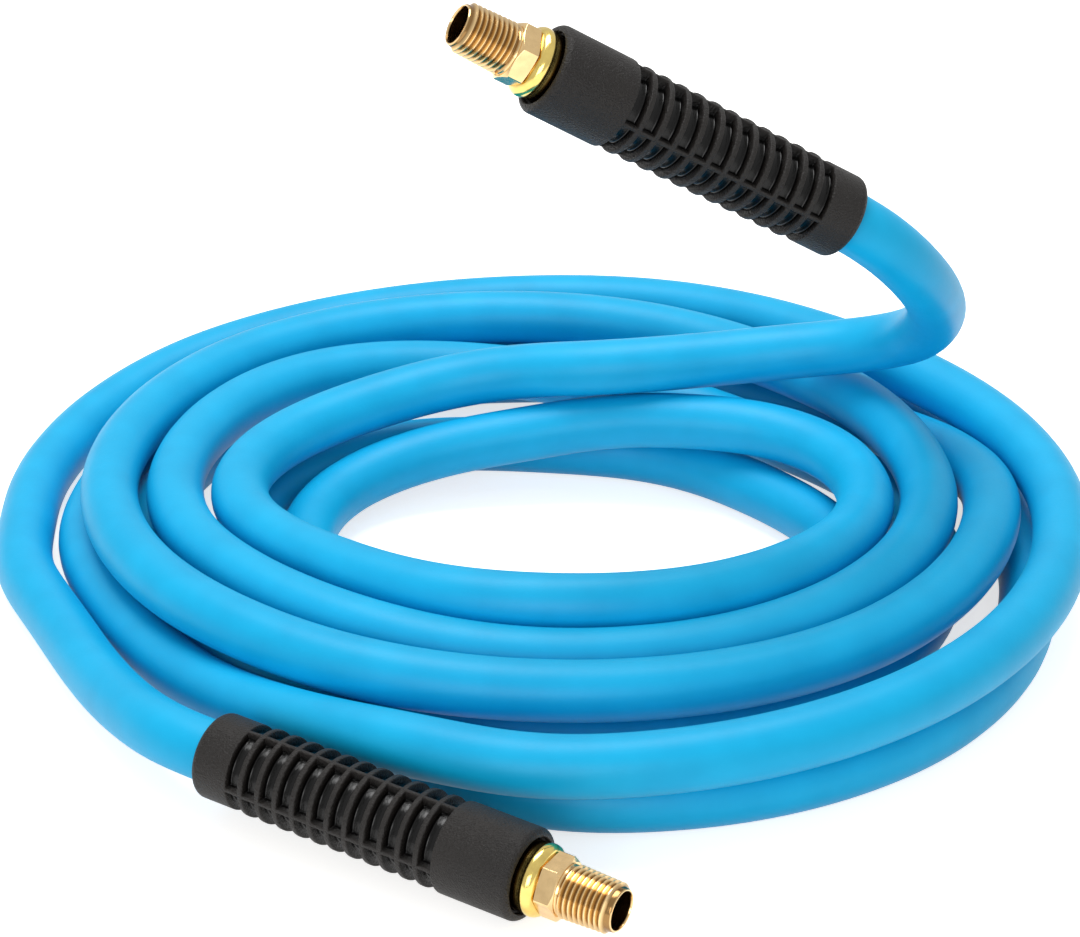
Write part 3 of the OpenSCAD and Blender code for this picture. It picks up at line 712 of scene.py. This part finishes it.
STEM_START, STEM_TIP_R = FERRULE_START - 8, 4.15
BARB_COUNT, BARB_PITCH, BARB_LEN, BARB_ROOT_R, BARB_R = 5, 4.2, 3.4, 4.45, 5.2
barbs = []
for k in range(BARB_COUNT):
    z = STEM_START + 1 + k * BARB_PITCH
    barbs += [(BARB_ROOT_R, z), (BARB_R, z + BARB_LEN)]
neck = [(6.0, THREAD_START), (root_r(THREAD_START) + 0.5, THREAD_START),
        (root_r(THREAD_START) + 0.35, THREAD_START + 0.5)]
core = [(root_r(THREAD_START + 0.9), THREAD_START + 0.9), (root_r(END_LEN - 1.0), END_LEN - 1.0),
        (root_r(END_LEN) - 0.1, END_LEN - 0.35), (root_r(END_LEN) - 0.35, END_LEN - 0.06),
        (root_r(END_LEN) - 0.5, END_LEN)]
mouth = [(MOUTH_R + 0.35, END_LEN), (MOUTH_R + 0.12, END_LEN - 0.12), (MOUTH_R, END_LEN - 0.5),
         (MOUTH_R, STEP_AT + 0.5), (MOUTH_R - 0.3, STEP_AT)]
stem = [(STEM_R, STEP_AT), (STEM_R, STEM_START), (STEM_TIP_R, STEM_START)] + barbs
shoulder = [(BORE_R, HOSE_STOP - 2), (BORE_R, HEX_START + 0.1), (4.9, HEX_START + 0.1)]
body_outline = neck + core + mouth + stem + shoulder
body = turned_mesh("fitting_body", body_outline, hex_angles, closed=False)

# %% [markdown]
# The thread is a true helix: 18 turns to the inch on a taper of one in sixteen. A stack of rings would look almost the
# same from far off, but only a helix runs out at its ends as a cut thread does. A spiral curve carries a ridge whose
# height fades over the first and the last half turn.

# %% Helical thread by a rule
helix_rule, rule_in, rule_out = geometry_rule(
    "helical_ridge", ["Turns", "Length", "Start Radius", "End Radius", "Ridge Height", "Ridge Width", "Material"])
helix = add_node(helix_rule, "GeometryNodeCurveSpiral",
                 {"Resolution": 72, "Rotations": rule_in.outputs["Turns"],
                  "Start Radius": rule_in.outputs["Start Radius"],
                  "End Radius": rule_in.outputs["End Radius"], "Height": rule_in.outputs["Length"]})
upright = add_node(helix_rule, "GeometryNodeSetCurveNormal", {"Curve": helix.outputs["Curve"]}, mode="Z_UP")
progress = add_node(helix_rule, "GeometryNodeSplineParameter").outputs["Factor"]
fade_in = add_node(helix_rule, "ShaderNodeMapRange",
                   {"Value": progress, "From Min": 0.0, "From Max": 0.05, "To Min": 0.05})
fade_out = add_node(helix_rule, "ShaderNodeMapRange",
                    {"Value": progress, "From Min": 1.0, "From Max": 0.93, "To Min": 0.15})
fade = add_node(helix_rule, "ShaderNodeMath", {0: fade_in.outputs["Result"], 1: fade_out.outputs["Result"]},
                operation="MULTIPLY")
half = add_node(helix_rule, "ShaderNodeMath", {0: rule_in.outputs["Ridge Width"], 1: 0.5}, operation="MULTIPLY")
other_half = add_node(helix_rule, "ShaderNodeMath", {0: half.outputs["Value"], 1: -1.0}, operation="MULTIPLY")
CREST_SHARE = 0.16
crest_half = add_node(helix_rule, "ShaderNodeMath", {0: half.outputs["Value"], 1: CREST_SHARE}, operation="MULTIPLY")
other_crest = add_node(helix_rule, "ShaderNodeMath", {0: half.outputs["Value"], 1: -CREST_SHARE}, operation="MULTIPLY")
# The curve's normal points to the axis, so outwards is minus X in the section.
outward = add_node(helix_rule, "ShaderNodeMath", {0: rule_in.outputs["Ridge Height"], 1: -1.0},
                   operation="MULTIPLY")
corners = [add_node(helix_rule, "ShaderNodeCombineXYZ", {"X": x, "Y": y}).outputs["Vector"] for x, y in (
    (0.0, half.outputs["Value"]), (outward.outputs["Value"], crest_half.outputs["Value"]),
    (outward.outputs["Value"], other_crest.outputs["Value"]), (0.0, other_half.outputs["Value"]))]
section = add_node(helix_rule, "GeometryNodeCurvePrimitiveQuadrilateral",
                   {"Point 1": corners[0], "Point 2": corners[1], "Point 3": corners[2], "Point 4": corners[3]},
                   mode="POINTS")
ridge = add_node(helix_rule, "GeometryNodeCurveToMesh",
                 {"Curve": add_node(helix_rule, "GeometryNodeSetCurveRadius",
                                    {"Curve": upright.outputs["Curve"], "Radius": fade.outputs["Value"]}).outputs["Curve"],
                  "Profile Curve": section.outputs["Curve"], "Fill Caps": True})
real = add_node(helix_rule, "GeometryNodeRealizeInstances", {"Geometry": ridge.outputs["Mesh"]})
covered = add_node(helix_rule, "GeometryNodeSetMaterial",
                   {"Geometry": real.outputs["Geometry"], "Material": rule_in.outputs["Material"]})
helix_rule.links.new(covered.outputs["Geometry"], rule_out.inputs["Geometry"])

machined_brass = brass_finish("machined_brass_bar", "#F3D199", "#7C5526", 0.15, 0.12)
HELIX_TURNS = 9.0
helix_len = HELIX_TURNS * THREAD_PITCH
helix_from = THREAD_START + 0.75
SUNK = 0.06
carrier = bpy.data.objects.new("helix_carrier", bpy.data.meshes.new("helix_carrier"))
bpy.context.collection.objects.link(carrier)
thread = apply_rule(carrier, helix_rule, {
    "Turns": HELIX_TURNS, "Length": helix_len, "Start Radius": root_r(helix_from) - SUNK,
    "End Radius": root_r(helix_from + helix_len) - SUNK, "Ridge Height": THREAD_DEPTH + SUNK,
    "Ridge Width": THREAD_PITCH * 0.98, "Material": machined_brass}, "pipe_thread")
thread.data.transform(Matrix.Translation((0, 0, helix_from)))
reach = max(math.hypot(v.co.x, v.co.y) for v in thread.data.vertices)
print("thread crest radius, mm:", round(reach, 2), "wanted", round(crest_r(helix_from), 2))


# %% The fitting joined
def thread_and_bore_shade(places):
    """Painted shade: 1 at the bottom of the thread and 0 at its crests and away from it; the bore is painted dark as
    shade too.
    """
    r, z = np.hypot(places[:, 0], places[:, 1]), places[:, 2]
    on_thread = (z > THREAD_START + 0.4) & (z < END_LEN - 0.3) & (r > MOUTH_R + 0.3)
    depth = np.clip((THREAD_D / 2 - (z - THREAD_START) * TAPER - r) / THREAD_DEPTH, 0, 1)
    bore = (z > HEX_START) & (r < MOUTH_R + 0.05) & (z < END_LEN - 0.3)
    return np.where(bore, 0.8, np.where(on_thread, depth * 0.85, 0.0))


tidy_mesh(thread, weld_mm=0.0005, sharp_degrees=30)
fitting = tidy_mesh(join_into(body, hexagon), weld_mm=0.003, sharp_degrees=14)
join_into(fitting, thread)
mark_axis(fitting, thread_and_bore_shade)
finish_name(fitting, machined_brass)
for polygon in fitting.data.polygons:
    polygon.use_smooth = True
for side, piece in copy_to_ends(fitting, "_threaded_fitting", "flat_at").items():
    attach(piece, "hose")
    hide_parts(side + "_fitting")
    print(piece.name, len(piece.data.polygons), "faces")


# %% [markdown]
# ## Layers inside the hose
# Where the hose ends in a ferrule it shows three layers: a tough cover, a braid of polyester yarn and a smooth liner.
# They are hidden while the part is whole, and the CAD solids have the right shape, so they only get a finish.

# %% Braid and liner
def braid_finish():
    """Polyester yarn: white, dull, crossing both ways every 1.2 mm."""
    material, tree, shader = new_material("braided_polyester_yarn", Roughness=0.8, IOR=1.5)
    coords = add_node(tree, "ShaderNodeTexCoord").outputs["Object"]
    one_way = add_node(tree, "ShaderNodeTexWave", {"Vector": coords, "Scale": 130.0, "Distortion": 1.0},
                       bands_direction="DIAGONAL")
    turned_coords = add_node(tree, "ShaderNodeMapping", {"Vector": coords, "Rotation": (0, math.pi / 2, 0)})
    other_way = add_node(tree, "ShaderNodeTexWave", {"Vector": turned_coords.outputs["Vector"], "Scale": 130.0,
                                                     "Distortion": 1.0}, bands_direction="DIAGONAL")
    crossing = add_node(tree, "ShaderNodeMath", {0: one_way.outputs["Fac"], 1: other_way.outputs["Fac"]},
                        operation="MAXIMUM")
    shade = add_node(tree, "ShaderNodeMix", {"Factor": crossing.outputs["Value"]}, data_type="RGBA")
    shade.inputs["A"].default_value, shade.inputs["B"].default_value = colour("#B9B9B2"), colour("#EDEDE8")
    tree.links.new(shade.outputs["Result"], shader.inputs["Base Color"])
    bump = add_node(tree, "ShaderNodeBump", {"Height": crossing.outputs["Value"], "Strength": 0.6, "Distance": 0.0003})
    tree.links.new(bump.outputs["Normal"], shader.inputs["Normal"])
    return material


def liner_finish():
    """Extruded grey polymer: smooth, slightly waxy, with faint streaks."""
    material, tree, shader = new_material("extruded_grey_liner", IOR=1.5)
    coords = add_node(tree, "ShaderNodeTexCoord").outputs["Object"]
    streak = add_node(tree, "ShaderNodeTexNoise", {"Vector": coords, "Scale": 220.0, "Detail": 2.0})
    shade = add_node(tree, "ShaderNodeMix", {"Factor": streak.outputs["Fac"]}, data_type="RGBA")
    shade.inputs["A"].default_value, shade.inputs["B"].default_value = colour("#BCC1C4"), colour("#CFD3D6")
    tree.links.new(shade.outputs["Result"], shader.inputs["Base Color"])
    rough = add_node(tree, "ShaderNodeMapRange", {"Value": streak.outputs["Fac"], "To Min": 0.3, "To Max": 0.45})
    tree.links.new(rough.outputs["Result"], shader.inputs["Roughness"])
    return material


for node_name, finish in (("hose_braid", braid_finish()), ("hose_liner", liner_finish())):
    for side in ENDS:
        finish_name(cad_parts[f"{side}_{node_name}"], finish)
print("finished the hidden layers of both ends")

# %% [markdown]
# ## The studio
# A plain pale floor and soft light from all round, brightest from above. The camera sees the floor and the world as
# white, while the light that they give stays at a plain level, so colours come out about as they are written.

# %% Floor, world and lamps
def floor_finish():
    """White to the camera and in mirrors, with the object's shadow kept."""
    material, tree, shader = new_material("matt_white_paper", Roughness=0.9)
    shader.inputs["Base Color"].default_value = (0.8, 0.8, 0.8, 1)
    shader.inputs["Specular IOR Level"].default_value = 0.0
    path = add_node(tree, "ShaderNodeLightPath")
    seen = add_node(tree, "ShaderNodeMath", {0: path.outputs["Is Camera Ray"], 1: path.outputs["Is Glossy Ray"]},
                    operation="MAXIMUM")
    glow = add_node(tree, "ShaderNodeEmission", {"Color": (1, 0.99, 0.97, 1), "Strength": 0.7})
    lit = add_node(tree, "ShaderNodeAddShader", {0: shader.outputs["BSDF"], 1: glow.outputs["Emission"]})
    choice = add_node(tree, "ShaderNodeMixShader",
                      {"Fac": seen.outputs["Value"], 1: shader.outputs["BSDF"], 2: lit.outputs["Shader"]})
    tree.links.new(choice.outputs["Shader"], tree.nodes["Material Output"].inputs["Surface"])
    return material


def soft_lamp(name, size, place, target, watts):
    lamp = bpy.data.objects.new(name, bpy.data.lights.new(name, "AREA"))
    bpy.context.collection.objects.link(lamp)
    lamp.data.shape = "RECTANGLE"
    lamp.data.size, lamp.data.size_y = size
    lamp.data.energy = watts
    lamp.location = place
    lamp.rotation_euler = (Vector(target) - Vector(place)).to_track_quat("-Z", "Y").to_euler()
    return lamp


bpy.ops.mesh.primitive_plane_add(size=8, location=(0, 0, -0.0002))
floor = bpy.context.object
floor.name = "floor"
finish_name(floor, floor_finish())

world = bpy.data.worlds.new("studio")
bpy.context.scene.world = world
world.use_nodes = True
tree = world.node_tree
path = add_node(tree, "ShaderNodeLightPath")
in_mirrors = add_node(tree, "ShaderNodeMath", {0: path.outputs["Is Glossy Ray"], 1: 0.5}, operation="MULTIPLY")
seen = add_node(tree, "ShaderNodeMath", {0: path.outputs["Is Camera Ray"], 1: in_mirrors.outputs["Value"]},
                operation="MAXIMUM")
strength = add_node(tree, "ShaderNodeMapRange", {"Value": seen.outputs["Value"], "To Min": 0.5, "To Max": 1.0})
background = tree.nodes["Background"]
background.inputs["Color"].default_value = (1, 1, 1, 1)
tree.links.new(strength.outputs["Result"], background.inputs["Strength"])

soft_lamp("overhead", (1.0, 0.7), (-0.1, 0.35, 1.4), (0, 0, 0.02), 16)
soft_lamp("front_fill", (1.2, 0.8), (-0.35, -1.6, 0.6), (0, 0, 0.05), 12)

bpy.context.scene.view_settings.view_transform = "Standard"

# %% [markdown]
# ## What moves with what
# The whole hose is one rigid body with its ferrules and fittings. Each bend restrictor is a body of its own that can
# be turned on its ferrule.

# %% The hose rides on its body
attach(hose, "hose")
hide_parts("hose_coil", "hose_upper_run", "hose_lower_run", "upper_hose_cover", "lower_hose_cover")
